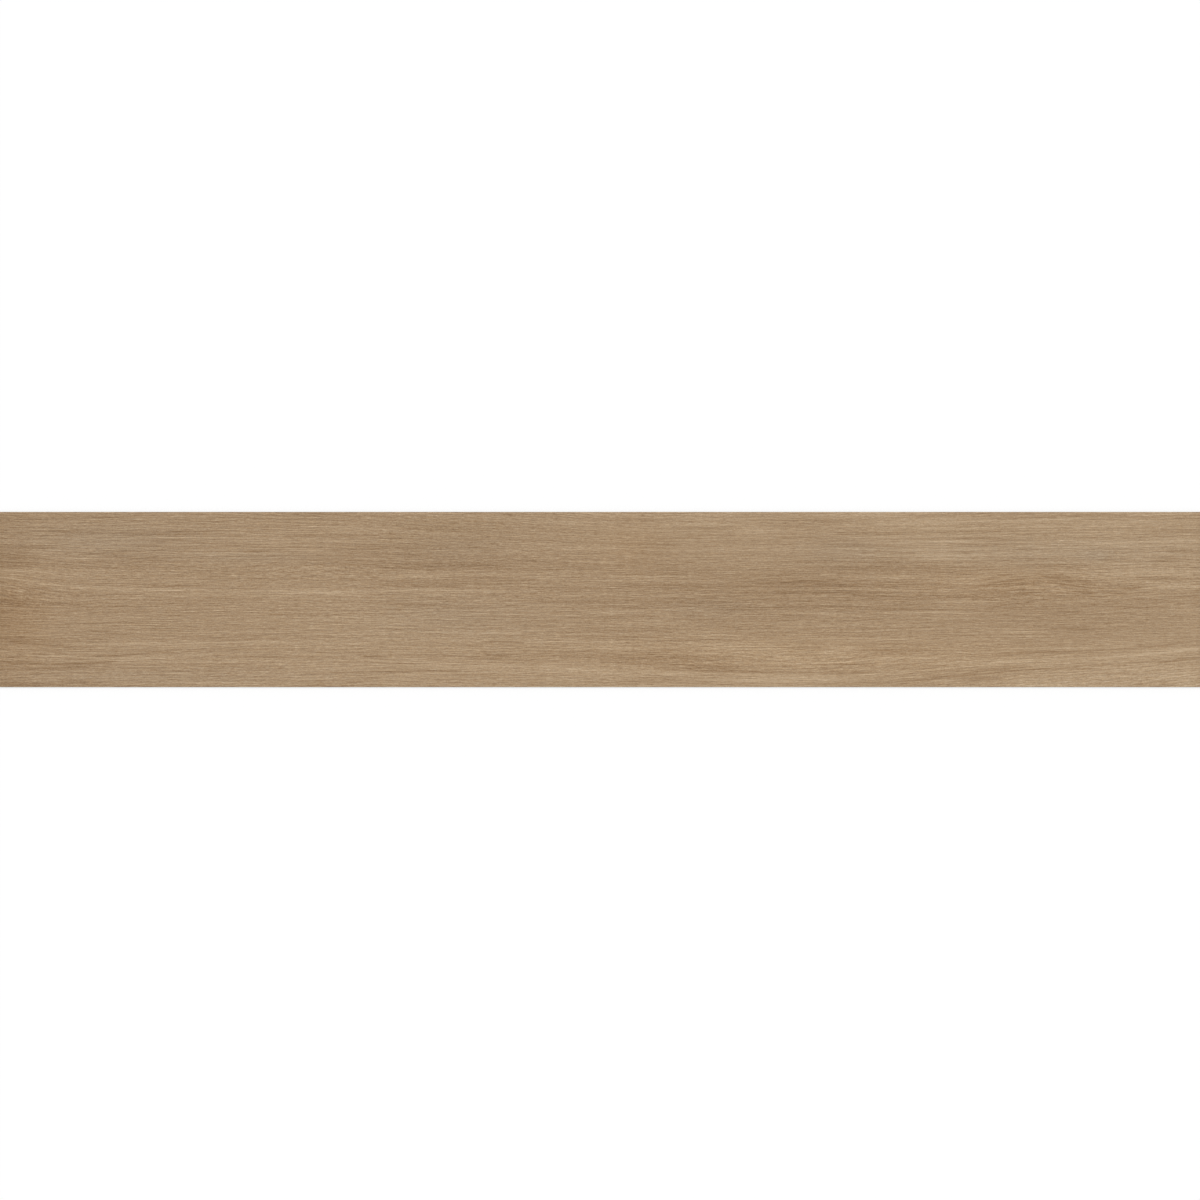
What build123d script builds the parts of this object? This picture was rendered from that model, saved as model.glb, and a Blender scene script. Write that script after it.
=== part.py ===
from build123d import *
import os

# Glue-down vinyl floor plank: one press-laminated sheet, die-cut to a plain rectangle.
# It lies on its back with the wear face up. The origin is the middle of the back face,
# +X runs along the grain, +Y across the plank and +Z up out of the wear face.

# Driving dimensions, in millimetres
plank_length = 1219.2     # 48 in, along the grain
plank_width = 177.8       # 7 in, across the grain
plank_thickness = 2.5     # from the back face to the wear face
bevel_across_face = 0.35  # micro-bevel round the wear face, measured inwards across the face
bevel_down_edge = 0.30    # the same bevel, measured down the cut edge


def die_cut_blank():
    """The square-cornered blank as it leaves the die, lying on its back face."""
    outline = Rectangle(plank_length, plank_width)
    return extrude(outline, plank_thickness)


def ease_wear_face(blank):
    """Takes the micro-bevel off all four edges of the wear face; the back keeps its sharp cut."""
    wear_face = blank.faces().sort_by(Axis.Z)[-1]
    return chamfer(wear_face.edges(), bevel_across_face, bevel_down_edge, reference=wear_face)


plank = ease_wear_face(die_cut_blank())
plank.label = "plank"

os.makedirs("parts", exist_ok=True)
export_step(plank, "parts/plank.step")
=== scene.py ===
import bpy
import numpy as np
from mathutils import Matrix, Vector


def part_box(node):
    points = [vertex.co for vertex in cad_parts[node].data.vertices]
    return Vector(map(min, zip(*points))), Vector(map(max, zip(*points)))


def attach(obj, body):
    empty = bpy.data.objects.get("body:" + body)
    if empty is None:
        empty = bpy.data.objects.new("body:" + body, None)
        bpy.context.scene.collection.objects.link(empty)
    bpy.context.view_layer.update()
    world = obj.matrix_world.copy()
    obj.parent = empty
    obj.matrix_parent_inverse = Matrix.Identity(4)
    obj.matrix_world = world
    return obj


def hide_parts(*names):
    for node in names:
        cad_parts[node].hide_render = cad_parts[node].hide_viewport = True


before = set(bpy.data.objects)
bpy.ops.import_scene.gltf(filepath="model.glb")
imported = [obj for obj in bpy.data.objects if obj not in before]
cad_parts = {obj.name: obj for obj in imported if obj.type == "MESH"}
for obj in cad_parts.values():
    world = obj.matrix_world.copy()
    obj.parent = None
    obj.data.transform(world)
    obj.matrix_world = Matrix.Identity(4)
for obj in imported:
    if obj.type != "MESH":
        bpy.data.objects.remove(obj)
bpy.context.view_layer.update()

# The filled vinyl sheet
# The body of the plank is vinyl, heavily filled with ground limestone: a dark backing and a paler core,
# each calendered and then hot-pressed into one sheet. It is die-cut, so its edges show the layers.
MM = 0.001
back_corner, face_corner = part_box("plank")
plank_length = face_corner.x - back_corner.x
plank_width = face_corner.y - back_corner.y
plank_thickness = face_corner.z - back_corner.z
backing_height = 1.1 * MM    # where the backing ends and the core begins, up from the back
film_height = 2.12 * MM      # where the core ends and the printed film begins
film_thickness = 0.08 * MM


def plug(tree, value, socket):
    """Gives a socket another node's output, or a plain number or colour."""
    if isinstance(value, bpy.types.NodeSocket):
        tree.links.new(value, socket)
    else:
        socket.default_value = value


def calc(tree, operation, *terms):
    """A Math node on numbers or on other nodes' outputs."""
    node = tree.nodes.new("ShaderNodeMath")
    node.operation = operation
    for term, socket in zip(terms, node.inputs):
        plug(tree, term, socket)
    return node.outputs[0]


def blend(tree, share, first, second):
    """A Mix node from one colour to another."""
    node = tree.nodes.new("ShaderNodeMix")
    node.data_type = "RGBA"
    plug(tree, share, node.inputs["Factor"])
    plug(tree, first, node.inputs["A"])
    plug(tree, second, node.inputs["B"])
    return node.outputs["Result"]


def linear(red, green, blue):
    """A colour as it shows on screen, 0 to 255, in the linear light that shaders work in."""
    shown = np.array([red, green, blue]) / 255
    light = np.where(shown <= 0.04045, shown / 12.92, ((shown + 0.055) / 1.055) ** 2.4)
    return (*light.tolist(), 1.0)


def ramp(tree, share, stops):
    """A colour ramp, from a list of positions from 0 to 1 and their colours."""
    node = tree.nodes.new("ShaderNodeValToRGB")
    elements = node.color_ramp.elements
    elements.remove(elements[1])
    elements[0].position, elements[0].color = stops[0]
    for position, colour in stops[1:]:
        elements.new(position).color = colour
    plug(tree, share, node.inputs["Fac"])
    return node.outputs["Color"]


def bumps(tree, height, distance):
    """A Bump node, whose height of 1 stands that far out of the surface."""
    node = tree.nodes.new("ShaderNodeBump")
    node.inputs["Strength"].default_value = 1.0
    node.inputs["Distance"].default_value = distance
    plug(tree, height, node.inputs["Height"])
    return node.outputs["Normal"]


def place_on_plank(tree):
    """The place on the plank, whole and as its three parts, in metres."""
    place = tree.nodes.new("ShaderNodeTexCoord")
    split = tree.nodes.new("ShaderNodeSeparateXYZ")
    plug(tree, place.outputs["Object"], split.inputs["Vector"])
    return place.outputs["Object"], *split.outputs


# Long grain, as a group: stretched noise about 0, in strands that may have a lip of the other tone
lip_offset = 1.2     # how many widths to the side the lip lies
noise_middle = 0.5   # the mean of the noise
grain_group = bpy.data.node_groups.new("long_grain", "ShaderNodeTree")
for name in ("Along", "Across", "Length", "Width", "Lot", "Lip"):
    grain_group.interface.new_socket(name, in_out="INPUT", socket_type="NodeSocketFloat")
grain_group.interface.new_socket("Strand", in_out="OUTPUT", socket_type="NodeSocketFloat")
grain_entry = grain_group.nodes.new("NodeGroupInput")
grain_leave = grain_group.nodes.new("NodeGroupOutput")
strand_along = calc(grain_group, "DIVIDE", grain_entry.outputs["Along"], grain_entry.outputs["Length"])
strand_across = calc(grain_group, "DIVIDE", grain_entry.outputs["Across"], grain_entry.outputs["Width"])


def strands(offset):
    """Stretched noise about 0, that many widths to the side."""
    stretch = grain_group.nodes.new("ShaderNodeCombineXYZ")
    plug(grain_group, strand_along, stretch.inputs["X"])
    plug(grain_group, calc(grain_group, "ADD", strand_across, offset), stretch.inputs["Y"])
    plug(grain_group, grain_entry.outputs["Lot"], stretch.inputs["Z"])
    noise = grain_group.nodes.new("ShaderNodeTexNoise")
    noise.inputs["Scale"].default_value = 1.0
    noise.inputs["Detail"].default_value = 0.0
    plug(grain_group, stretch.outputs["Vector"], noise.inputs["Vector"])
    return calc(grain_group, "SUBTRACT", noise.outputs["Fac"], noise_middle)


lip = calc(grain_group, "MULTIPLY", strands(lip_offset), grain_entry.outputs["Lip"])
plug(grain_group, calc(grain_group, "SUBTRACT", strands(0.0), lip), grain_leave.inputs["Strand"])


def long_grain(tree, with_grain, over_grain, length, width, lot, lip=0.0):
    """One family of strands, of that length and width in millimetres."""
    node = tree.nodes.new("ShaderNodeGroup")
    node.node_tree = grain_group
    plug(tree, with_grain, node.inputs["Along"])
    plug(tree, over_grain, node.inputs["Across"])
    node.inputs["Length"].default_value = length * MM
    node.inputs["Width"].default_value = width * MM
    node.inputs["Lot"].default_value = lot
    node.inputs["Lip"].default_value = lip
    return node.outputs["Strand"]


# Limestone filler, as a group: pale crumbs in the vinyl, and its slow clouding about 0
crumb_starts = 0.6   # the noise at which a crumb begins to show
crumb_full = 0.7     # and at which it shows in full
cloud_scale = 0.03   # clouds to a crumb
filler_group = bpy.data.node_groups.new("limestone_filler", "ShaderNodeTree")
filler_group.interface.new_socket("Place", in_out="INPUT", socket_type="NodeSocketVector")
filler_group.interface.new_socket("Crumb Size", in_out="INPUT", socket_type="NodeSocketFloat")
filler_group.interface.new_socket("Crumb", in_out="OUTPUT", socket_type="NodeSocketFloat")
filler_group.interface.new_socket("Cloud", in_out="OUTPUT", socket_type="NodeSocketFloat")
filler_entry = filler_group.nodes.new("NodeGroupInput")
filler_leave = filler_group.nodes.new("NodeGroupOutput")
in_crumbs = filler_group.nodes.new("ShaderNodeVectorMath")
in_crumbs.operation = "SCALE"
plug(filler_group, filler_entry.outputs["Place"], in_crumbs.inputs["Vector"])
crumbs_per_metre = calc(filler_group, "DIVIDE", 1.0, filler_entry.outputs["Crumb Size"])
plug(filler_group, crumbs_per_metre, in_crumbs.inputs["Scale"])
crumbs = filler_group.nodes.new("ShaderNodeTexNoise")
crumbs.inputs["Scale"].default_value = 1.0
crumbs.inputs["Detail"].default_value = 2.0
plug(filler_group, in_crumbs.outputs["Vector"], crumbs.inputs["Vector"])
crumb_edge = filler_group.nodes.new("ShaderNodeMapRange")
crumb_edge.inputs["From Min"].default_value = crumb_starts
crumb_edge.inputs["From Max"].default_value = crumb_full
plug(filler_group, crumbs.outputs["Fac"], crumb_edge.inputs["Value"])
plug(filler_group, crumb_edge.outputs["Result"], filler_leave.inputs["Crumb"])
clouds = filler_group.nodes.new("ShaderNodeTexNoise")
clouds.inputs["Scale"].default_value = cloud_scale
clouds.inputs["Detail"].default_value = 3.0
plug(filler_group, in_crumbs.outputs["Vector"], clouds.inputs["Vector"])
cloud_drift = calc(filler_group, "SUBTRACT", clouds.outputs["Fac"], noise_middle)
plug(filler_group, cloud_drift, filler_leave.inputs["Cloud"])


def limestone_filler(tree, place, crumb_size):
    """The crumbs and the clouding of the filler, for crumbs that many millimetres apart."""
    node = tree.nodes.new("ShaderNodeGroup")
    node.node_tree = filler_group
    plug(tree, place, node.inputs["Place"])
    node.inputs["Crumb Size"].default_value = crumb_size * MM
    return node.outputs["Crumb"], node.outputs["Cloud"]


# The back: dull grey vinyl with fine lines along it from the calender's roll
back_crumb_size = 0.9
roll_line_length = 70
roll_line_width = 1.1
roll_line_lot = 71
dark_back_grey = linear(98, 95, 90)
pale_back_grey = linear(138, 134, 127)
back_crumb_grey = linear(172, 168, 160)
back_contrast = 0.9          # how far the lines and clouds go between the two greys
ramp_middle = 0.5            # half-way between the ends of a ramp or a mix
back_crumb_share = 0.3
back_roughness = 0.78
roll_line_roughness = 0.2
back_relief = 0.06 * MM
backing = bpy.data.materials.new("filled_vinyl_back")
backing.use_nodes = True
tree = backing.node_tree
back_vinyl = tree.nodes["Principled BSDF"]
place, place_along, place_across, _ = place_on_plank(tree)
crumb, cloud = limestone_filler(tree, place, back_crumb_size)
roll_line = long_grain(
    tree, place_along, place_across, roll_line_length, roll_line_width, roll_line_lot
)
clouded = calc(tree, "MULTIPLY_ADD", cloud, back_contrast, ramp_middle)
back_tone = calc(tree, "MULTIPLY_ADD", roll_line, back_contrast, clouded)
back_grey = ramp(tree, back_tone, [(0.0, dark_back_grey), (1.0, pale_back_grey)])
back_colour = blend(tree, calc(tree, "MULTIPLY", crumb, back_crumb_share), back_grey, back_crumb_grey)
plug(tree, back_colour, back_vinyl.inputs["Base Color"])
back_rough = calc(tree, "MULTIPLY_ADD", roll_line, roll_line_roughness, back_roughness)
plug(tree, back_rough, back_vinyl.inputs["Roughness"])
back_height = calc(tree, "MULTIPLY_ADD", crumb, -back_crumb_share, roll_line)
plug(tree, bumps(tree, back_height, back_relief), back_vinyl.inputs["Normal"])
back_vinyl.inputs["Specular IOR Level"].default_value = 0.25

# The cut edge: backing, core and the thin brown line of the film, with the die's upright drag marks
edge_crumb_size = 0.35
drag_mark_length = 2.6
drag_mark_width = 0.32
drag_mark_lot = 72
layer_blur = 0.06 * MM       # the layers' borders, which the press leaves a little soft
backing_grey = linear(124, 120, 113)
core_grey = linear(170, 161, 147)
film_brown = linear(112, 84, 56)
edge_crumb_grey = linear(190, 184, 172)
scuff_grey = linear(88, 82, 74)
edge_crumb_share = 0.4
mean_scuff = 0.18            # how far the edge is scuffed, and what clouds and drag marks add to that
cloud_scuff = 0.6
drag_scuff = 0.7
edge_roughness = 0.7
drag_mark_roughness = 0.3
edge_relief = 0.05 * MM
edge = bpy.data.materials.new("die_cut_edge")
edge.use_nodes = True
tree = edge.node_tree
edge_vinyl = tree.nodes["Principled BSDF"]
place, place_along, place_across, place_up = place_on_plank(tree)
crumb, cloud = limestone_filler(tree, place, edge_crumb_size)
round_edge = calc(tree, "ADD", place_along, place_across)
drag_mark = long_grain(tree, place_up, round_edge, drag_mark_length, drag_mark_width, drag_mark_lot)
height_now = calc(tree, "MULTIPLY_ADD", drag_mark, 2 * layer_blur, place_up)
height_share = calc(tree, "DIVIDE", height_now, plank_thickness)
layers = [
    (0.0, backing_grey),
    ((backing_height - layer_blur) / plank_thickness, backing_grey),
    ((backing_height + layer_blur) / plank_thickness, core_grey),
    ((film_height - film_thickness / 4) / plank_thickness, core_grey),
    ((film_height + film_thickness / 4) / plank_thickness, film_brown),
    (1.0, film_brown),
]
layer_colour = ramp(tree, height_share, layers)
crumb_share = calc(tree, "MULTIPLY", crumb, edge_crumb_share)
dragged = calc(tree, "MULTIPLY_ADD", drag_mark, drag_scuff, mean_scuff)
scuff = calc(tree, "MULTIPLY_ADD", cloud, cloud_scuff, dragged)
edge_colour = blend(tree, crumb_share, layer_colour, edge_crumb_grey)
edge_colour = blend(tree, scuff, edge_colour, scuff_grey)
plug(tree, edge_colour, edge_vinyl.inputs["Base Color"])
edge_rough = calc(tree, "MULTIPLY_ADD", drag_mark, drag_mark_roughness, edge_roughness)
plug(tree, edge_rough, edge_vinyl.inputs["Roughness"])
plug(tree, bumps(tree, drag_mark, edge_relief), edge_vinyl.inputs["Normal"])
edge_vinyl.inputs["Specular IOR Level"].default_value = 0.3

# The printed oak film
# Under the clear wear layer lies a thin film, printed with a plain-sawn natural oak board: grain that
# swells and dips, long pale and dark streaks and lines, and fine fibres between them. The strokes are
# given in millimetres from the left end and from the front edge.
bevel_across_face = 0.35 * MM
bevel_down_edge = 0.30 * MM
columns = 250        # cells of the wear face along the grain
rows = 376           # cells of the wear face across the grain
face_x = np.linspace(back_corner.x + bevel_across_face, face_corner.x - bevel_across_face, columns + 1)
face_y = np.linspace(back_corner.y + bevel_across_face, face_corner.y - bevel_across_face, rows + 1)
place_x, place_y = np.meshgrid(face_x, face_y)
along = (place_x - back_corner.x) / MM
across = (place_y - back_corner.y) / MM


def patch(middle_x, middle_y, reach, spread, rise=0):
    """A soft patch: 1 in its middle, fading over its reach along the board and its spread across it."""
    step = (along - middle_x) / reach
    return np.exp(-(step**2) - ((across - middle_y - rise * step) / spread) ** 2)


grain_swells = [
    # along, across, reach to the left, reach to the right, spread across, lift of the grain
    (-15, 38, 50, 50, 14, 5), (-10, 109, 66, 66, 20, 7), (61, 81, 70, 70, 16, -3),
    (335, 125, 70, 70, 9, 4), (700, 178, 210, 600, 38, -20), (792, 17, 130, 130, 15, -6),
    (1000, 88, 120, 120, 20, -4), (1016, 168, 100, 100, 20, 3), (1052, 109, 56, 56, 16, 4),
    (1128, 97, 40, 40, 14, -2), (1300, 17, 265, 265, 37, 24),
]
grain_lift = np.zeros_like(along)
for middle_x, middle_y, reach_left, reach_right, spread, lift in grain_swells:
    reach = np.where(along < middle_x, reach_left, reach_right)
    grain_lift += lift * patch(middle_x, middle_y, reach, spread)
slow_waves = [
    # length, height, and lean across the board in radians to a millimetre
    (311, 0.5, 0.021), (173, 0.3, -0.033),
]
for wave_length, wave_height, lean in slow_waves:
    grain_lift += wave_height * np.sin(2 * np.pi * along / wave_length + lean * across)

board_shades = [
    # along, across, reach along, spread across, rise to the right over one reach, shade in tone levels
    (0, 84, 34, 78, 0, -9), (8, 110, 36, 8, -2, 7), (40, 146, 42, 4.5, 0, -4), (140, 18, 70, 20, 0, -2),
    (335, 94, 112, 10, 0, 4), (340, 28, 264, 24, 0, 4.5), (343, 74, 60, 10, 0, 2),
    (343, 163, 60, 10, 0, 2), (386, 63, 71, 12, 0, 3), (457, 137, 132, 26, 0, -4),
    (560, 10, 90, 9, 0, 2), (620, 15, 112, 12, 0, 4), (711, 170, 61, 9, 0, 4), (724, 11, 40, 8, 0, -2),
    (803, 15, 71, 25, 0, 5), (813, 88, 193, 24, 0, -6), (860, 119, 230, 12, 0, -2),
    (876, 163, 40, 10, 0, -2), (894, 157, 122, 22, 0, 2), (930, 11, 70, 10, 0, 3),
    (953, 76, 40, 9, 0, 2), (1077, 76, 122, 20, 0, -4), (1105, 54, 45, 9, 0, -2.5),
    (1128, 15, 112, 16, 5, 6), (1138, 152, 132, 26, 0, 3), (1150, 33, 80, 9, 0, 2),
    (1158, 115, 56, 9, 0, 6), (1185, 11, 40, 10, 0, 2), (1212, 5, 20, 6, 0, 6),
]
dark_streaks = [
    # as the board shades
    (5, 84, 46, 7, 0, -4), (5, 131, 36, 5, 0, -7), (5, 170, 36, 8, 0, -5), (25, 47, 46, 4, -3, -5),
    (28, 2, 36, 4, 0, -7.5), (71, 21, 56, 3, 1.5, -2), (72, 84, 44, 2.2, 0, -6), (86, 95, 34, 2, 0, -5),
    (122, 124, 38, 2, 0, -5), (137, 132, 51, 5, -2, -8), (173, 35, 76, 2, 3.6, -4),
    (188, 156, 76, 3, 0, -6), (213, 86, 61, 3, 0, -4), (218, 16, 25, 4, 0, -5),
    (222, 117.5, 28, 2, 0, -6), (255, 141, 90, 2, 0, -2), (265, 33, 60, 2.4, -1, -4),
    (275, 18, 30, 2.2, 0, -5), (325, 172, 26, 2.6, 0, -6), (330, 1, 26, 2.6, 0, -6),
    (345, 129, 36, 4, 0, -5), (376, 31.5, 76, 2.2, -1.5, -6), (410, 14.5, 30, 2.2, 0, -6),
    (452, 105, 66, 2, 0, -6), (452, 161.5, 28, 5, -2, -5), (457, 123.5, 76, 3.3, 0, -9),
    (497, 155.5, 24, 3, 0, -6), (530, 109, 50, 1.8, -2, -5), (550, 32, 44, 5, 0, -5),
    (579, 125, 46, 5, -2, -5), (584, 101, 40, 2.4, 0, -6), (620, 57, 46, 3, 0, -5),
    (635, 71, 26, 3, 0, -4), (640, 22, 26, 2.2, 0, -5), (650, 29, 61, 5, -1, -10),
    (660, 126, 38, 3.4, 0, -6), (665, 143, 26, 4, 0, -5), (676, 103.5, 66, 3, -2, -10),
    (679, 117, 41, 2.5, 0, -8), (690, 89, 50, 3, 0, -4), (711, 68, 30, 3, 0, -5),
    (725, 20, 48, 3.4, -1.5, -13), (785, 165, 30, 3.6, 0, -5), (795, 114, 40, 2.2, 0, -5),
    (798, 97, 51, 2.2, 0, -7), (813, 105.5, 66, 4, -1, -10), (820, 43, 32, 3.4, 0, -8),
    (840, 161, 46, 2.8, -1, -6), (858, 14.4, 22, 2.4, 0, -12), (860, 120.5, 38, 2.2, 0, -8),
    (869, 146, 36, 4, -2, -5), (884, 3.5, 61, 3, 3, -5), (884, 94, 41, 3, -3, -9),
    (890, 127.5, 110, 2, 0, -8), (910, 82, 50, 4, 0, -4), (919, 121.5, 51, 4, 0, -6),
    (925, 23.5, 22, 2.6, 0, -6), (945, 106, 36, 2, 0, -4), (975, 117, 25, 3, 0, -5),
    (980, 91, 56, 2.6, -1, -8), (985, 10, 46, 3.6, 1.5, -3), (1003, 150, 28, 3, 0, -7),
    (1040, 97, 46, 2.4, 0, -4), (1040, 104, 40, 5, 1, -5), (1062, 155, 24, 2.4, 0, -7),
    (1077, 35.5, 51, 3.6, 1, -4), (1080, 124, 34, 2.6, 0, -10), (1095, 109.5, 44, 3, -5, -5),
    (1128, 98, 36, 3, 0, -3), (1136, 129.5, 20, 2.8, 0, -8), (1168, 41.3, 51, 2.4, 5, -2),
    (1181, 111, 28, 2.8, 0, -14), (1181, 130, 18, 3.6, 0, -10), (1192, 157, 40, 3.4, 0, -6),
    (1195, 31, 36, 4, 3, -3),
]
pale_streaks = [
    # as the board shades
    (15, 37.5, 25, 4, 0, 6), (41, 117.5, 51, 3.3, -1.5, 4), (46, 138, 18, 4, 0, 5),
    (105, 140, 40, 2.6, 0, 5), (110, 150, 42, 2, 0, 4), (122, 10, 41, 5, 0, 5),
    (122, 99.5, 91, 2.4, -1.5, 6), (147, 28.5, 46, 3, 2, 6), (190, 24, 90, 1.8, 0, 4),
    (205, 45.5, 110, 2.4, 0, 6), (215, 5.5, 60, 2.4, 0, 4), (232, 137, 61, 4, 0, 5),
    (305, 146.5, 51, 4, 0, 5), (315, 9.5, 28, 2.4, 0, 5), (315, 19.5, 40, 2.2, 0, 5),
    (325, 120.5, 42, 2.4, 0, 5), (330, 97, 46, 2.6, -1, 5), (365, 160, 40, 2.2, 0, 5),
    (412, 9.5, 24, 3, 0, 5), (437, 114.5, 61, 3.6, 0, 4), (475, 22, 60, 2.4, 0, 5),
    (525, 47, 60, 2.2, 0, 5), (530, 138.5, 38, 3, 0, 6), (569, 111, 56, 2.6, -2, 6),
    (610, 41, 41, 3.6, -1, 5), (615, 176, 26, 2.6, 0, 6), (635, 17, 70, 3, 0, 4), (670, 66, 36, 3, 0, 4),
    (725, 41, 32, 2.8, 0, 6), (767, 160.5, 18, 7, 0, 6), (770, 99.5, 50, 1.6, 0, 5),
    (782, 6.5, 61, 4, 0, 6), (787, 38.5, 51, 8, 0, 4), (853, 37.5, 20, 7, 0, 7),
    (889, 175.5, 61, 4, 1, 8), (895, 147, 30, 2.2, 0, 6), (905, 27, 52, 2.8, 1, 8),
    (910, 111, 24, 2.4, 0, 6), (925, 166.5, 61, 3.3, 2, 8), (955, 132.5, 30, 3.7, 0, 10),
    (958, 80, 40, 3.4, 0, 6), (960, 148, 38, 2.2, 0, 6), (975, 106, 40, 4.6, 3, 5),
    (1026, 25, 76, 3, 3, 9), (1026, 135, 81, 3, 1, 5), (1030, 56, 28, 3, 0, 5), (1057, 3, 61, 4, 1, 6),
    (1125, 42, 40, 2.2, 0, 4), (1147, 133, 28, 2.6, 0, 5), (1158, 167, 61, 3, 2, 4),
    (1168, 146.5, 81, 4, 1, 4), (1184, 103.5, 24, 2.6, 0, 8), (1195, 117, 42, 2.8, 0, 5),
    (1196, 37, 46, 3.3, 4, 7), (1200, 11.5, 38, 3, 2, 7),
]
dark_lines = [
    # along, across, reach along, rise to the right over one reach, shade in tone levels
    (10, 122.5, 28, 0, -9), (40, 100.3, 16, 0, -15), (40, 142, 28, -0.5, -7), (70, 157.5, 22, 0, -7),
    (82, 4.6, 20, 0, -17), (85, 126, 25, 0, -7), (98, 49, 10, 0, -8), (100, 172, 45, 0.9, -14),
    (105, 56, 18, 0, -7), (112, 53, 18, 0, -6), (145, 144, 24, 0, -8), (150, 154, 28, 0.2, -8),
    (172, 149, 20, -0.4, -8), (175, 102, 26, 0.4, -9), (180, 16, 18, 0, -7), (230, 47.2, 30, 0, -13),
    (240, 23.5, 32, 0, -9), (260, 136.8, 30, 0, -9), (262, 132.7, 34, 0, -7), (285, 31, 42, -0.2, -9),
    (310, 153.3, 36, -0.4, -8), (325, 176.3, 24, 0, -8), (370, 140, 40, -0.3, -8),
    (385, 93.8, 26, -0.5, -14), (405, 24, 24, -0.6, -7), (405, 121.3, 32, 0, -9),
    (412, 103, 46, -0.8, -9), (418, 161, 22, 0, -7), (425, 83.7, 34, -0.8, -16),
    (432, 91.3, 26, -0.3, -9), (440, 32, 34, -0.3, -9), (480, 12.7, 26, 0, -8), (505, 93, 38, -1.2, -9),
    (555, 13.5, 28, -0.3, -9), (560, 86.5, 30, -0.3, -9), (585, 110, 26, -0.3, -9),
    (612, 86.7, 30, 0.3, -11), (625, 50.3, 26, 0, -8), (640, 80.8, 36, 0, -9),
    (645, 169.7, 36, -0.2, -9), (655, 9.5, 38, -0.5, -9), (655, 36, 30, 0.5, -8),
    (655, 57.5, 26, 0.2, -8), (690, 47, 22, 0.3, -8), (700, 19, 40, 0, -7), (705, 30, 40, 0, -8),
    (712, 85, 24, 0, -10), (715, 161, 34, 0, -9), (752, 78.8, 26, 0, -15), (756, 2.4, 24, 0, -4),
    (757, 61, 32, 0.4, -9), (780, 15.3, 42, 0, -9), (785, 101.5, 36, 0.2, -8), (800, 71, 42, 0.2, -8),
    (812, 80.8, 36, 0, -9), (815, 152, 36, 0, -9), (820, 19, 30, -0.2, -9), (825, 38.2, 32, 0, -11),
    (832, 168.2, 26, -0.4, -15), (860, 23, 22, 0, -11), (870, 144, 40, 0.3, -8), (895, 156, 40, 0.3, -8),
    (905, 37.3, 42, -0.2, -16), (905, 43, 30, 0, -8), (905, 136.7, 30, 0, -8),
    (932, 78.7, 44, -0.8, -13), (960, 150.3, 40, 0.2, -9), (975, 137, 22, 0, -9),
    (985, 158.5, 26, 0, -8), (1000, 144.7, 30, -0.2, -10), (1034, 155, 18, 0, -7),
    (1035, 172.3, 30, 0.2, -8), (1040, 139.7, 26, 0, -8), (1062, 130, 40, 0.5, -5),
    (1083, 76, 22, 0, -10), (1085, 42.5, 40, 0.1, -7), (1085, 90.5, 24, 0, -8),
    (1090, 58.6, 22, -0.2, -15), (1100, 174, 36, 0.6, -9), (1105, 152.3, 26, -0.4, -5),
    (1135, 136.8, 22, 0, -8), (1145, 149.5, 26, 0, -8), (1150, 13, 30, 0.3, -5),
    (1155, 80.8, 24, 0, -14), (1185, 127.5, 20, 0, -8), (1200, 137.5, 26, 0, -19),
    (1205, 92.2, 20, 0.3, -13), (1205, 171, 26, 0, -9),
]
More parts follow.
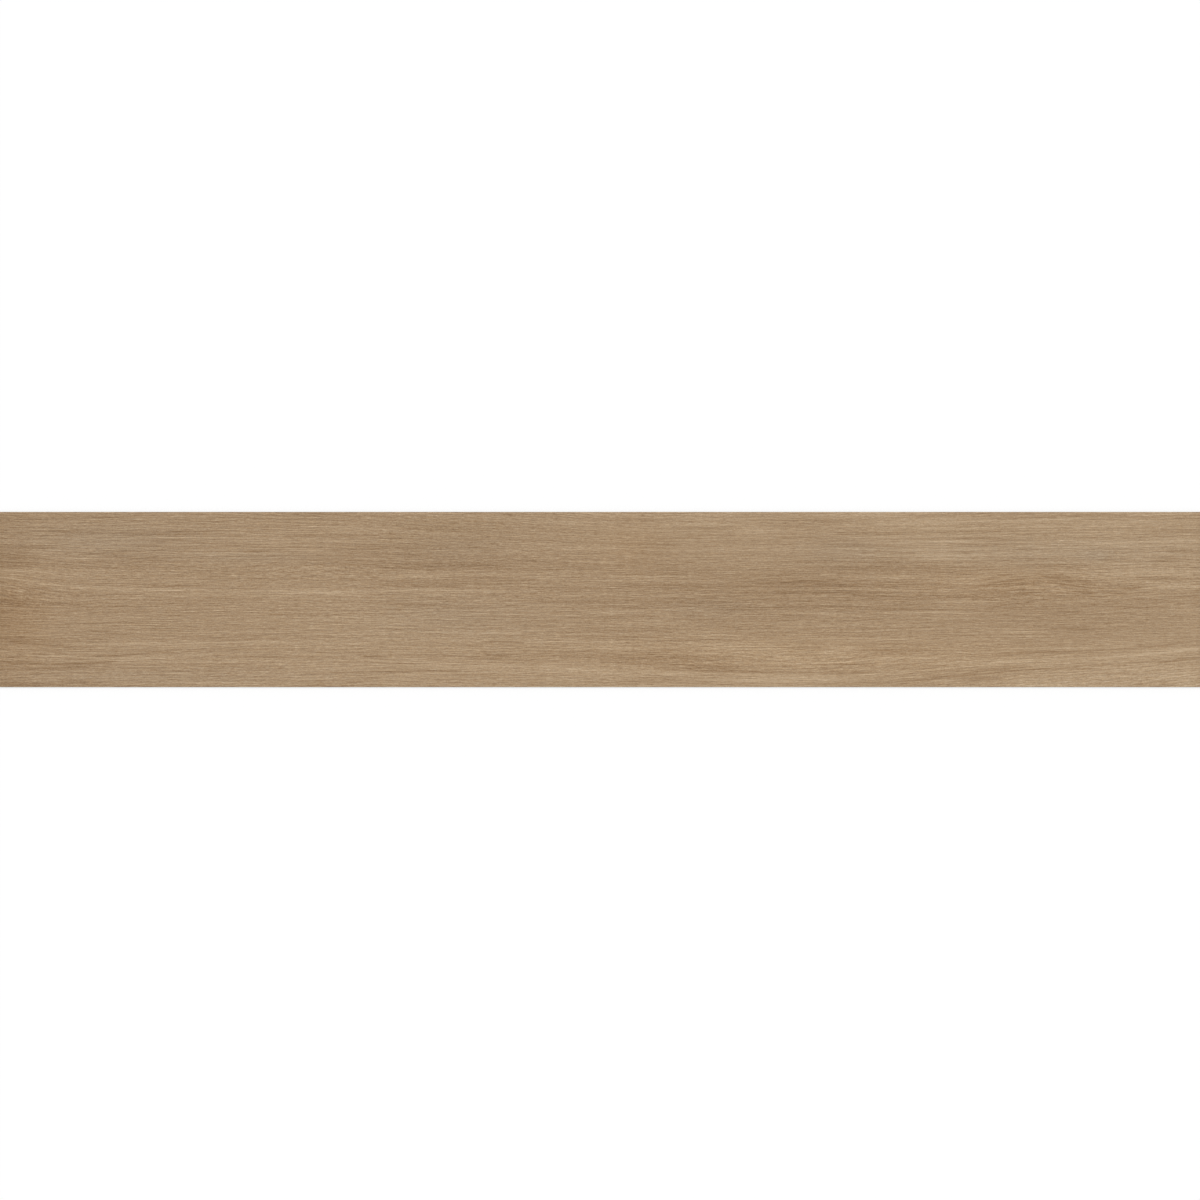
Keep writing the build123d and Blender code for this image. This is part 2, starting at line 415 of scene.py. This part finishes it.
pale_lines = [
    # as the dark lines
    (2, 102, 9, 0, 8), (6, 112, 14, 0, 6), (8, 148.8, 24, 0, 12), (12, 118, 30, -0.6, 7),
    (12, 128.5, 16, 0, 6), (50, 6.8, 20, 0, 9), (50, 147, 26, 0, 9), (70, 31.3, 20, 0, 9),
    (75, 150.5, 40, 0, 7), (80, 130.5, 24, -0.6, 8), (98, 100.8, 30, -0.4, 4), (120, 29, 45, 0.6, 8),
    (135, 43.5, 40, 0.4, 6), (160, 98.5, 40, -0.4, 7), (172, 151.5, 34, 0, 6), (188, 12.8, 8, -0.3, 10),
    (245, 157, 36, 0, 15), (255, 151.5, 34, 0, 7), (295, 33, 40, 0.5, 8), (310, 138.8, 26, -0.5, 8),
    (360, 130.7, 26, 0, 4), (420, 30, 32, -0.3, 8), (420, 112.5, 34, -0.4, 8), (425, 99.5, 34, -0.3, 9),
    (430, 13.3, 38, 0.8, 12), (430, 87, 18, 0, 7), (485, 97.5, 22, 0, 10), (500, 54.7, 34, 0, 8),
    (540, 145.5, 26, -0.6, 8), (545, 123.5, 30, 0, 9), (550, 83.5, 30, -0.6, 9),
    (560, 109.5, 40, -1.4, 7), (560, 130.8, 30, -0.3, 8), (580, 6, 22, 0, 6), (580, 19, 36, -0.5, 8),
    (585, 167.5, 36, -0.3, 8), (600, 141, 34, -0.2, 8), (605, 127, 26, -1.2, 10), (608, 102.3, 24, 0, 9),
    (625, 54.5, 28, 0, 4), (625, 75.8, 26, 0, 8), (650, 108, 42, -0.4, 10), (655, 112.5, 40, 0.2, 8),
    (660, 78, 50, 0.7, 8), (680, 92.5, 34, 0.4, 9), (685, 13, 24, 0, 10), (710, 165.3, 26, 0, 8),
    (718, 53, 36, 0.4, 9), (720, 33.5, 34, 0, 4), (735, 7.5, 30, -0.3, 8), (760, 6, 30, -0.2, 4),
    (780, 129, 24, 0, 8), (838, 74.6, 34, -0.8, 12), (845, 7.5, 30, 0, 9), (860, 162.5, 26, -0.2, 3),
    (880, 48.8, 60, 0, 7), (885, 12.5, 42, 0.4, 4), (885, 84, 30, -0.4, 9), (890, 99, 38, -0.4, 9),
    (890, 134.5, 22, 0, 10), (940, 139, 42, 0.2, 9), (945, 75, 36, -0.2, 10), (950, 129.5, 30, 0.4, 8),
    (955, 29.5, 36, 0.8, 8), (955, 160.8, 30, 0.4, 9), (965, 147.5, 38, 0, 11), (978, 86.7, 30, 0, 10),
    (988, 105, 22, 0.2, 8), (1016, 23.5, 26, 2.6, 6), (1050, 162.8, 26, 0.4, 9), (1060, 1.5, 30, 0.6, 3),
    (1085, 39.5, 50, 0.3, 9), (1085, 126.5, 34, 0.4, 8), (1130, 144, 28, -0.8, 8),
    (1150, 32.3, 30, 1.6, 8), (1165, 130.2, 30, 0, 9), (1165, 177, 36, 0.2, 9),
    (1195, 135, 28, -0.4, 11), (1200, 37, 30, 3.2, 9), (1205, 102.5, 26, 0.2, 8),
    (1205, 112.5, 26, -0.3, 8), (1205, 149, 26, -0.2, 9),
]
grain_curves = [
    # shade in tone levels, then the places that the line follows: along, across
    (-11, (0, 26.1), (15, 25.3), (30, 24.1), (46, 23.1)),
    (-17, (2, 30.4), (10, 30.2), (22, 29.8)),
    (12, (6, 110.5), (25, 108.5), (40, 105.5), (52, 103.5), (68, 102.8)),
    (-11, (8, 47.7), (25, 45.5), (42, 43), (62, 41.7), (95, 40.7)),
    (-9, (42, 18.6), (60, 19.2), (78, 20.4), (98, 22)),
    (-19, (50, 23), (75, 24), (95, 24.9), (120, 25.4)),
    (-9, (92, 31), (115, 31.9), (135, 32.8), (152, 34.7), (178, 36.1)),
    (-7, (165, 158), (200, 158.3), (240, 158.1), (285, 157.8)),
    (-8, (305, 13.6), (340, 14.4), (375, 15.4), (405, 15.6), (440, 16.8), (482, 16.4)),
    (-10, (362, 32.8), (376, 31.2), (394, 31.2)),
    (-6, (396, 136.8), (410, 134.2), (426, 130.1)),
    (-7, (474, 29.8), (500, 28.4), (525, 27), (552, 23.2)),
    (-8, (476, 125.1), (495, 123.8), (515, 122.2)),
    (-23, (490, 33.8), (504, 32.4), (520, 31.4)),
    (-19, (490, 46.2), (515, 46.1), (535, 45.4)),
    (-7, (630, 138.2), (648, 136.5), (660, 135.1), (676, 133.8)),
    (-8, (664, 150.9), (690, 150.9), (735, 151.1)),
    (8, (672, 149.8), (700, 149.7), (735, 149.9)),
    (-10, (806, 108.1), (818, 108.2), (834, 107.9)),
    (-9, (826, 103.8), (850, 103), (880, 101.8), (915, 101)),
    (-9, (912, 3.8), (930, 6), (946, 8), (962, 10.4)),
    (-14, (940, 11.2), (975, 11.8), (1005, 13.8), (1035, 16.7), (1080, 17.7)),
    (-14, (980, 6.5), (1000, 7.9), (1022, 9.5)),
    (-15, (984, 15.1), (1000, 16.7), (1015, 18.7), (1030, 20.3), (1048, 21.9)),
    (4, (985, 104.1), (1001, 106.3), (1014, 108.7), (1027, 110.5)),
    (-9, (990, 94.9), (1011, 95.7), (1038, 95.3), (1056, 96.3)),
    (-12, (998, 103.3), (1011, 105.7), (1020, 107.3), (1029, 108.4), (1044, 107.9)),
    (-9, (998, 79.9), (1015, 82.3), (1032, 84.9), (1056, 87.3)),
    (-15, (1000, 109), (1011, 111.6), (1019, 113.3), (1030, 114.2)),
    (-5, (1002, 100), (1012, 102.1), (1022, 103.2), (1054, 103.3)),
    (6, (1005, 166.8), (1030, 168.8), (1060, 170.1), (1100, 171.2)),
    (-8, (1016, 34.4), (1050, 35.8), (1080, 35.6), (1105, 36.8), (1155, 39.4), (1180, 42.8),
     (1206, 45.6)),
    (-16, (1054, 113.2), (1066, 111), (1082, 109.2), (1100, 107), (1116, 104.6)),
    (10, (1060, 103.8), (1070, 103), (1080, 101.4)),
    (-11, (1064, 112.9), (1074, 112.2), (1086, 111)),
    (-7, (1072, 104.3), (1084, 103.2), (1096, 102.1), (1110, 101.1)),
    (-15, (1080, 18.5), (1095, 18.7), (1115, 18.7)),
    (-24, (1088, 98), (1100, 96.3), (1114, 95.4)),
    (-6, (1092, 21.7), (1125, 22.7), (1148, 24.7), (1165, 26.7), (1184, 29.7)),
    (2, (1100, 29.6), (1140, 31.2), (1165, 33.8), (1190, 36.8), (1219, 39)),
    (-11, (1106, 83.6), (1125, 86), (1142, 88), (1165, 88.8), (1190, 88.2)),
    (-13, (1116, 98), (1127, 96.5), (1146, 95.2)),
    (-19, (1140, 98.4), (1148, 99.8), (1160, 101.2)),
    (-15, (1172, 23.6), (1190, 26.3), (1205, 28.4), (1219, 30)),
]
line_spread = 1.2    # how wide such a thin line is, in millimetres
curve_spread = 0.95  # how wide a curved line is
curve_fade = 6       # how far from its two ends a curved line fades
curve_degree = 3     # of the polynomial that is fitted to a curved line's places
paling = 5.5         # tone levels that the board gains from its left end to its right
shade = paling * (along * MM / plank_length - 0.5)
for middle_x, middle_y, reach, spread, rise, depth in board_shades + dark_streaks + pale_streaks:
    shade += depth * patch(middle_x, middle_y, reach, spread, rise)
for middle_x, middle_y, reach, rise, depth in dark_lines + pale_lines:
    shade += depth * patch(middle_x, middle_y, reach, line_spread, rise)
for depth, *places in grain_curves:
    curve_x, curve_y = np.transpose(places)
    course = np.polynomial.Polynomial.fit(curve_x, curve_y, min(curve_degree, len(places) - 1))
    fade = np.clip(np.minimum(along - curve_x[0], curve_x[-1] - along) / curve_fade, 0, 1)
    shade += depth * fade * np.exp(-(((across - course(along)) / curve_spread) ** 2))

straight_zones = [
    # along, across, reach along, spread across, how much longer (above 0) or shorter the fibres are
    (20, 98, 50, 8, -0.7), (80, 23, 60, 6, 0.8), (110, 34, 70, 10, 0.8), (130, 120, 130, 7, -0.8),
    (210, 60, 130, 17, 0.7), (210, 147, 150, 18, 1.0), (350, 115, 60, 14, -0.7), (375, 51, 60, 6, -0.5),
    (420, 23, 75, 14, 0.9), (460, 150, 70, 32, -0.7), (525, 99, 60, 7, -0.5), (545, 70, 60, 9, 1.0),
    (570, 145, 70, 20, -0.7), (700, 152, 70, 7, 0.6), (780, 104, 70, 9, 0.6), (850, 44, 80, 8, 0.9),
    (945, 77, 60, 22, 0.7), (960, 146, 120, 16, 0.9), (985, 13, 70, 8, 0.8), (985, 34, 25, 9, -0.6),
    (1030, 106, 45, 10, 0.7), (1075, 35, 75, 20, 0.6), (1110, 176, 80, 9, 0.9), (1120, 97, 40, 9, 0.3),
    (1219, 150, 50, 30, 0.8),
]
straightness = np.zeros_like(along)
for middle_x, middle_y, reach, spread, gain in straight_zones:
    straightness += gain * patch(middle_x, middle_y, reach, spread)
straightness = np.clip(straightness, -1, 1)

warm_patches = [
    # along, across, reach along, spread across, how much warmer (above 0) or greyer the ink is
    (18, 70, 34, 46, 2.6), (108, 149, 85, 17, -3.0), (155, 11, 160, 8, -1.8), (257, 132, 65, 5, -2.2),
    (461, 72, 75, 20, -1.8), (461, 140, 60, 17, -1.6), (640, 145, 32, 28, 1.8), (720, 80, 45, 9, -1.8),
    (820, 32, 270, 20, 2.0), (856, 137, 45, 15, -2.2), (1025, 106, 100, 14, 1.8),
    (1070, 137, 150, 13, -2.0), (1112, 134, 14, 5, -4),
]
warmth = np.zeros_like(along)
for middle_x, middle_y, reach, spread, gain in warm_patches:
    warmth += gain * patch(middle_x, middle_y, reach, spread)

film = bpy.data.materials.new("oak_print_film")
film.use_nodes = True
tree = film.node_tree
film_vinyl = tree.nodes["Principled BSDF"]
_, place_along, place_across, _ = place_on_plank(tree)


def stored(name):
    """A value that is kept in the plank's mesh."""
    node = tree.nodes.new("ShaderNodeAttribute")
    node.attribute_name = name
    return node.outputs["Fac"]


over_grain = calc(tree, "SUBTRACT", place_across, stored("grain_lift"))


def fibre(length, width, lot, lip=0.0):
    """A family of the oak's fibres, by length and width in millimetres, along the grain's swells."""
    return long_grain(tree, place_along, over_grain, length, width, lot, lip)


pore = fibre(5, 0.28, 81)
speck = fibre(1.4, 0.75, 61)
fleck = fibre(3.2, 0.75, 3)
dash = fibre(8, 0.8, 8)
hairline = fibre(20, 0.9, 13, 0.5)
stroke = fibre(45, 1.0, 21, 0.6)
long_stroke = fibre(80, 1.7, 30, 0.6)
line = fibre(150, 2.8, 38, 0.6)
long_line = fibre(260, 4.5, 47, 0.5)
band = fibre(500, 7, 55, 0.3)


def laid_over(tone, layers):
    """A tone with layers laid over it, each with its strength in tone levels."""
    for layer, levels in layers:
        tone = calc(tree, "MULTIPLY_ADD", layer, levels, tone)
    return tone


short_gain = -0.25           # what straightness adds to the short fibres, and to the long ones
long_gain = 0.4
straight = stored("straightness")
short_share = calc(tree, "MULTIPLY_ADD", straight, short_gain, 1)
long_share = calc(tree, "MULTIPLY_ADD", straight, long_gain, 1)
short_tone = laid_over(0.0, [(dash, 33), (fleck, 27)])
long_tone = laid_over(0.0, [(long_stroke, 11), (stroke, 17)])
tone_layers = [
    (pore, 16),
    (speck, 26),
    (hairline, 28),
    (line, 7),
    (long_line, 5),
    (band, 6),
    (short_tone, short_share),
    (long_tone, long_share),
    # painted shade: the ink is three tone levels darker inside the pressed ticks' grooves
    (stored("pressed"), -3),
]
tone = laid_over(stored("board_shade"), tone_layers)
tone_span = 68               # tone levels from the darkest ink to the palest
ink_share = calc(tree, "MULTIPLY_ADD", tone, 1 / tone_span, ramp_middle)
oak_inks = [
    (0.0, (119.3, 90.4, 58.8)),
    (0.25, (140.3, 112.6, 80.8)),
    (0.5, (160.8, 134.4, 103.3)),
    (0.75, (181.3, 156.7, 125.8)),
    (1.0, (201.3, 178.4, 147.8)),
]
warm_shift = np.array([3.2, 0.2, -3.2])     # what the warm inks have over these, in shown levels
warm_shift_span = 4.2                       # the warmth that makes that shift
grey_inks = [(position, linear(*(ink - warm_shift))) for position, ink in oak_inks]
warm_inks = [(position, linear(*(ink + warm_shift))) for position, ink in oak_inks]
warm_share = calc(tree, "MULTIPLY_ADD", stored("warmth"), ramp_middle / warm_shift_span, ramp_middle)
tinted_fibres = [(stroke, 0.5), (fibre(9, 1.5, 66), 0.6), (fibre(2.4, 1.8, 67), 0.6)]
for tinted, gain in tinted_fibres:
    warm_share = calc(tree, "MULTIPLY_ADD", tinted, gain, warm_share)
ink = blend(tree, warm_share, ramp(tree, ink_share, grey_inks), ramp(tree, ink_share, warm_inks))
plug(tree, ink, film_vinyl.inputs["Base Color"])

# The embossed wear layer
# A clear matt vinyl layer covers the print. The press plate marks it with thousands of short shallow
# ticks along the oak's lines, with the land between them at full height, and a micro-bevel is cut
# round its rim.
tick_count = 7000
tick_depth = 0.07 * MM
tick_half_lengths = (6, 17)      # the shortest and the longest, in millimetres
tick_half_widths = (0.4, 0.75)
tick_strengths = (0.4, 1.0)      # shares of the full depth
faintest_tick = 0.02
tick_seed = 48
dice = np.random.default_rng(tick_seed)
grain_across = across - grain_lift
pressed = np.zeros_like(along)
for _ in range(tick_count):
    tick_x = dice.uniform(0, plank_length / MM)
    tick_y = dice.uniform(0, plank_width / MM)
    half_length = dice.uniform(*tick_half_lengths)
    half_width = dice.uniform(*tick_half_widths)
    strength = dice.uniform(*tick_strengths)
    first = np.searchsorted(along[0], tick_x - half_length)
    last = np.searchsorted(along[0], tick_x + half_length)
    here = slice(first, last)
    taper = 1 - ((along[:, here] - tick_x) / half_length) ** 2
    groove = np.exp(-(((grain_across[:, here] - tick_y) / half_width) ** 2))
    pressed[:, here] = np.maximum(pressed[:, here], strength * taper * groove)
pressed[pressed < faintest_tick] = 0

matt_roughness = 0.52
dash_roughness = 0.25
tick_roughness = 0.12
skin_relief = 0.05 * MM      # how far a dash stands out, and what share of that the finer fibres do
pore_relief = 0.4
hairline_relief = 0.8
land_rough = calc(tree, "MULTIPLY_ADD", dash, dash_roughness, matt_roughness)
wear_rough = calc(tree, "MULTIPLY_ADD", stored("pressed"), tick_roughness, land_rough)
plug(tree, wear_rough, film_vinyl.inputs["Roughness"])
fine_skin = calc(tree, "MULTIPLY_ADD", pore, pore_relief, dash)
skin = calc(tree, "MULTIPLY_ADD", hairline, hairline_relief, fine_skin)
plug(tree, bumps(tree, skin, skin_relief), film_vinyl.inputs["Normal"])
film_vinyl.inputs["Specular IOR Level"].default_value = 0.3

# The plank as one closed mesh: the wear face, the bevel's foot round it, and a coarser grid for the back
columns_to_back_cell = 5
rows_to_back_cell = 8
rim_slack = 1.01             # a point this many bevel widths from the side is still on the rim
face_points = np.stack([place_x, place_y, face_corner.z - tick_depth * pressed], axis=-1).reshape(-1, 3)
face_number = np.arange(len(face_points)).reshape(rows + 1, columns + 1)
rim = np.concatenate(
    [face_number[0, :-1], face_number[:-1, -1], face_number[-1, :0:-1], face_number[:0:-1, 0]]
)
middle = np.array([back_corner.x + face_corner.x, back_corner.y + face_corner.y]) / 2
half_span = np.array([plank_length, plank_width]) / 2
foot_points = face_points[rim]
offset = foot_points[:, :2] - middle
on_rim = np.abs(offset) > half_span - rim_slack * bevel_across_face
foot_points[:, :2] = middle + np.where(on_rim, np.sign(offset) * half_span, offset)
foot_points[:, 2] = face_corner.z - bevel_down_edge
foot_number = len(face_points) + np.arange(len(rim))

back_x = face_x[::columns_to_back_cell].copy()
back_y = face_y[::rows_to_back_cell].copy()
back_x[[0, -1]] = back_corner.x, face_corner.x
back_y[[0, -1]] = back_corner.y, face_corner.y
back_points = np.stack([*np.meshgrid(back_x, back_y, back_corner.z)], axis=-1).reshape(-1, 3)
back_number = foot_number[-1] + 1 + np.arange(len(back_points)).reshape(len(back_y), len(back_x))
points = np.concatenate([face_points, foot_points, back_points])


def grid_cells(number):
    """The four-sided cells of a grid of numbered points, facing up."""
    corners = [number[:-1, :-1], number[:-1, 1:], number[1:, 1:], number[1:, :-1]]
    return np.stack(corners, axis=-1).reshape(-1, 4)


def cut_edge(side, lower):
    """One cut edge: triangles from the many points of the bevel's foot to the few at the back's rim."""
    start = (0, columns, columns + rows, 2 * columns + rows)[side]
    length = (columns, rows)[side % 2]
    upper = foot_number[np.arange(start, start + length + 1) % len(foot_number)]
    share = length // (len(lower) - 1)
    half = share // 2
    nearest = lower[(np.arange(length) + share - half) // share]
    fans = np.stack([nearest, upper[1:], upper[:-1]], axis=-1)
    between = np.stack([lower[:-1], lower[1:], upper[half::share]], axis=-1)
    return np.concatenate([fans, between])


bevel_cells = np.stack([foot_number, np.roll(foot_number, -1), np.roll(rim, -1), rim], axis=-1)
film_cells = np.concatenate([grid_cells(face_number), bevel_cells])
on_left = points[film_cells].mean(axis=1)[:, 0] < middle[0]
back_cells = grid_cells(back_number)[:, ::-1]
front_edge = cut_edge(0, back_number[0])
right_end = cut_edge(1, back_number[:, -1])
rear_edge = cut_edge(2, back_number[-1, ::-1])
left_end = cut_edge(3, back_number[::-1, 0])

# Each group of faces has its finish, the two ways it lies along, and its strip on the map for its bake
map_margin = 0.004
full_strip = 1 - 2 * map_margin
half_strip = 0.49
right_half = 1 - map_margin - half_strip
film_slot, edge_slot, back_slot = range(3)
level, lengthways, crossways = (0, 1), (0, 2), (1, 2)
face_groups = [
    # faces, finish, ways, and the strip's left side, foot, width and height
    (film_cells[on_left], film_slot, level, (map_margin, map_margin, full_strip, 0.4)),
    (film_cells[~on_left], film_slot, level, (map_margin, 0.41, full_strip, 0.4)),
    (back_cells, back_slot, level, (map_margin, 0.816, full_strip, 0.1)),
    (front_edge, edge_slot, lengthways, (map_margin, 0.922, full_strip, 0.02)),
    (rear_edge, edge_slot, lengthways, (map_margin, 0.948, full_strip, 0.02)),
    (right_end, edge_slot, crossways, (map_margin, 0.974, half_strip, 0.02)),
    (left_end, edge_slot, crossways, (right_half, 0.974, half_strip, 0.02)),
]
faces = []
finish_of_face = []
bake_places = []
for group, finish, ways, (left, bottom, width, height) in face_groups:
    faces += group.tolist()
    finish_of_face += [finish] * len(group)
    flat = points[group.ravel()][:, ways]
    share = (flat - flat.min(axis=0)) / np.ptp(flat, axis=0)
    bake_places.append(share * (width, height) + (left, bottom))
is_wear_face = [max(face) < len(face_points) for face in faces]

plank_mesh = bpy.data.meshes.new("embossed_plank")
plank_mesh.from_pydata(points.tolist(), [], faces)
for finish in (film, edge, backing):
    plank_mesh.materials.append(finish)
plank_mesh.polygons.foreach_set("material_index", finish_of_face)
plank_mesh.polygons.foreach_set("use_smooth", is_wear_face)
bake_map = plank_mesh.uv_layers.new(name="OFBake")
bake_map.uv.foreach_set("vector", np.concatenate(bake_places).ravel())
for name, field in {
    "board_shade": shade,
    "grain_lift": grain_lift * MM,
    "pressed": pressed,
    "straightness": straightness,
    "warmth": warmth,
}.items():
    on_face = field.ravel()
    layer = plank_mesh.attributes.new(name, "FLOAT", "POINT")
    on_points = np.concatenate([on_face, on_face[rim], np.zeros(len(back_points))])
    layer.data.foreach_set("value", on_points.astype(np.float32))
plank_mesh.update()

plank = bpy.data.objects.new("embossed_plank", plank_mesh)
bpy.context.scene.collection.objects.link(plank)
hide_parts("plank")
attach(plank, "root")

# The floor
# A wide sheet of plain white card, on which the plank lies loose. To the camera it shows half by its own
# white, as on a light table, so that the plank's shadow on it stays pale.
floor_half = 8.0
floor_drop = 0.05 * MM
card_white = (0.99, 0.99, 0.99, 1.0)
glow_share = 0.5
floor_mesh = bpy.data.meshes.new("white_floor")
floor_corners = [(x * floor_half, y * floor_half) for x, y in ((-1, -1), (1, -1), (1, 1), (-1, 1))]
floor_points = [(x, y, back_corner.z - floor_drop) for x, y in floor_corners]
floor_mesh.from_pydata(floor_points, [], [(0, 1, 2, 3)])
floor = bpy.data.objects.new("white_floor", floor_mesh)
bpy.context.scene.collection.objects.link(floor)
card = bpy.data.materials.new("white_card")
card.use_nodes = True
tree = card.node_tree
card_shader = tree.nodes["Principled BSDF"]
card_shader.inputs["Base Color"].default_value = card_white
card_shader.inputs["Roughness"].default_value = 1.0
card_shader.inputs["Specular IOR Level"].default_value = 0.0


def seen_rays(tree):
    """1 for the rays that show the background itself: to the camera, in a mirror or through glass."""
    rays = tree.nodes.new("ShaderNodeLightPath").outputs
    direct = calc(tree, "MAXIMUM", rays["Is Camera Ray"], rays["Is Glossy Ray"])
    return calc(tree, "MAXIMUM", direct, rays["Is Transmission Ray"])


glow = tree.nodes.new("ShaderNodeEmission")
lit_card = tree.nodes.new("ShaderNodeMixShader")
plug(tree, calc(tree, "MULTIPLY", seen_rays(tree), glow_share), lit_card.inputs["Fac"])
plug(tree, card_shader.outputs["BSDF"], lit_card.inputs[1])
plug(tree, glow.outputs["Emission"], lit_card.inputs[2])
plug(tree, lit_card.outputs["Shader"], tree.nodes["Material Output"].inputs["Surface"])
floor_mesh.materials.append(card)

# The light
# An even white room, as over a flatbed, with one wide soft lamp high on the upper left.
room_level = 0.66
lamp_level = 0.36
lamp_elevation = np.radians(66)
lamp_azimuth = np.radians(120)
lamp_spread = np.radians(20)
world = bpy.data.worlds.new("white_room")
bpy.context.scene.world = world
world.use_nodes = True
tree = world.node_tree
sky = tree.nodes["Background"]
sky.inputs["Color"].default_value = (1.0, 1.0, 1.0, 1.0)
room_strength = calc(tree, "MULTIPLY_ADD", seen_rays(tree), 1 - room_level, room_level)
plug(tree, room_strength, sky.inputs["Strength"])
lamp = bpy.data.lights.new("soft_lamp", "SUN")
lamp.energy = lamp_level * np.pi / np.sin(lamp_elevation)
lamp.angle = lamp_spread
lamp_stand = bpy.data.objects.new("soft_lamp", lamp)
lamp_stand.rotation_euler = (np.pi / 2 - lamp_elevation, 0, lamp_azimuth + np.pi / 2)
bpy.context.scene.collection.objects.link(lamp_stand)

# The camera
# Straight above, with the plank's length just filling the frame, as in the photograph.
frame_pixels = 1200
pixels_above_middle = 0.5    # how far the plank lies above the middle of the frame
end_trim = 0.6 * MM          # the frame ends this far inside each end of the plank
focal_length = 85            # millimetres, as the sensor's width is
sensor_width = 36            # as wide as a full-frame camera's
lens = bpy.data.cameras.new("camera_above")
lens.lens = focal_length
lens.sensor_width = sensor_width
camera = bpy.data.objects.new("camera_above", lens)
drop = (plank_length - 2 * end_trim) * focal_length / sensor_width
camera_y = middle[1] - pixels_above_middle * plank_length / frame_pixels
camera.location = (middle[0], camera_y, face_corner.z + drop)
bpy.context.scene.collection.objects.link(camera)
bpy.context.scene.camera = camera
bpy.context.scene.view_settings.view_transform = "Standard"
